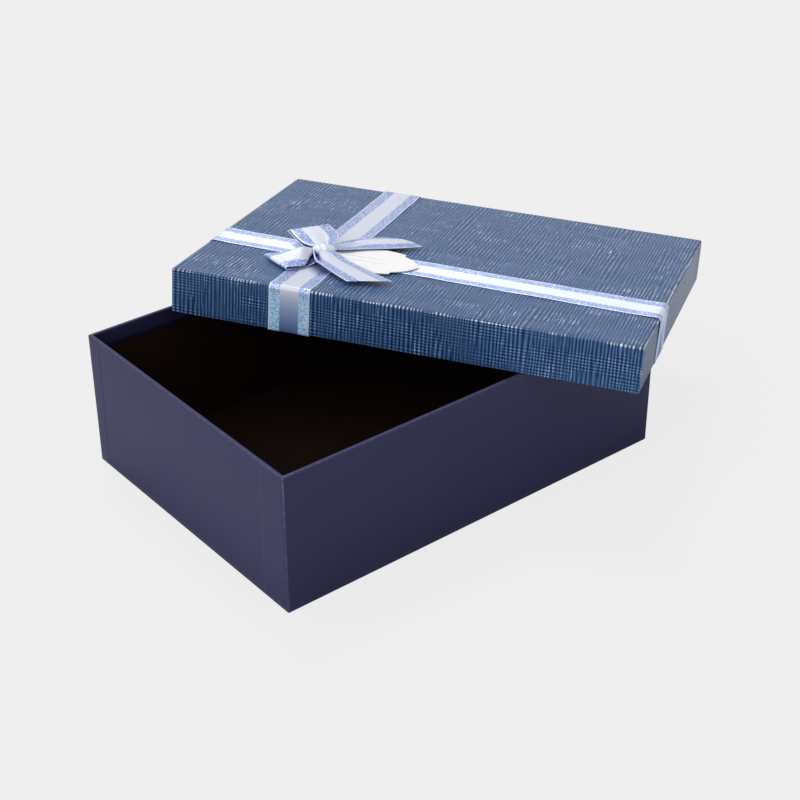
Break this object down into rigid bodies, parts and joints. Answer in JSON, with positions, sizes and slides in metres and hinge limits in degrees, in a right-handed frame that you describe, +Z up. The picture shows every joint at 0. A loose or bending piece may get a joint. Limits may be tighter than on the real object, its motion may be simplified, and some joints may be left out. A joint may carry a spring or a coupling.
{
  "type": "gift box",
  "caption": "Rectangular rigid gift box with a wrapped lift-off lid lying askew on it, crossed ribbons, a tied bow and a card tag.",
  "frame": {"origin": "centre of the base's underside, on the surface that the box stands on", "axes": "+X along the base's length, +Y towards the base's back wall, +Z up"},
  "size_m": [0.3819, 0.3549, 0.1239],
  "materials": {
    "greyboard": "plain greyboard",
    "stay_tape": "kraft paper tape",
    "navy_paper": "matt navy coated paper",
    "dark_lining": "matt very dark brown paper",
    "linen_print_paper": "embossed denim-blue paper with a linen line print, slightly shiny",
    "ribbon": "satin ribbon, white centre and pale blue edge bands",
    "glue": "set hot glue",
    "thread": "white thread",
    "tag_card": "smooth white card"
  },
  "bodies": {
    "base": {"base_bottom_board": "greyboard", "base_front_board": "greyboard", "base_back_board": "greyboard", "base_left_board": "greyboard", "base_right_board": "greyboard", "base_corner_tapes": "stay_tape", "base_wrap_paper": "navy_paper", "base_underside_paper": "navy_paper", "base_wall_lining": "dark_lining", "base_floor_lining": "dark_lining"},
    "lid": {"lid_top_board": "greyboard", "lid_front_board": "greyboard", "lid_back_board": "greyboard", "lid_left_board": "greyboard", "lid_right_board": "greyboard", "lid_corner_tapes": "stay_tape", "lid_wrap_paper": "linen_print_paper", "lid_wall_lining": "dark_lining", "lid_top_lining": "dark_lining", "ribbon_cross": "ribbon", "ribbon_long": "ribbon", "bow_glue_dot": "glue", "bow_knot": "ribbon", "bow_loop_back": "ribbon", "bow_loop_front": "ribbon", "bow_tail_front": "ribbon", "bow_tail_back": "ribbon", "tag_tie": "thread"},
    "tag": {"gift_tag": "tag_card"}
  },
  "joints": [
    {"name": "lid_lift", "type": "slide", "parent": "base", "child": "lid", "axis": [0, 0, 1], "range_m": [0, 0.12]},
    {"name": "tag_swing", "type": "hinge", "parent": "lid", "child": "tag", "pos_m": [0.01164, 0.05208, 0.1122], "axis": [0.1258, 0.0591, 0.9903], "range_deg": [-8, 8]}
  ]
}
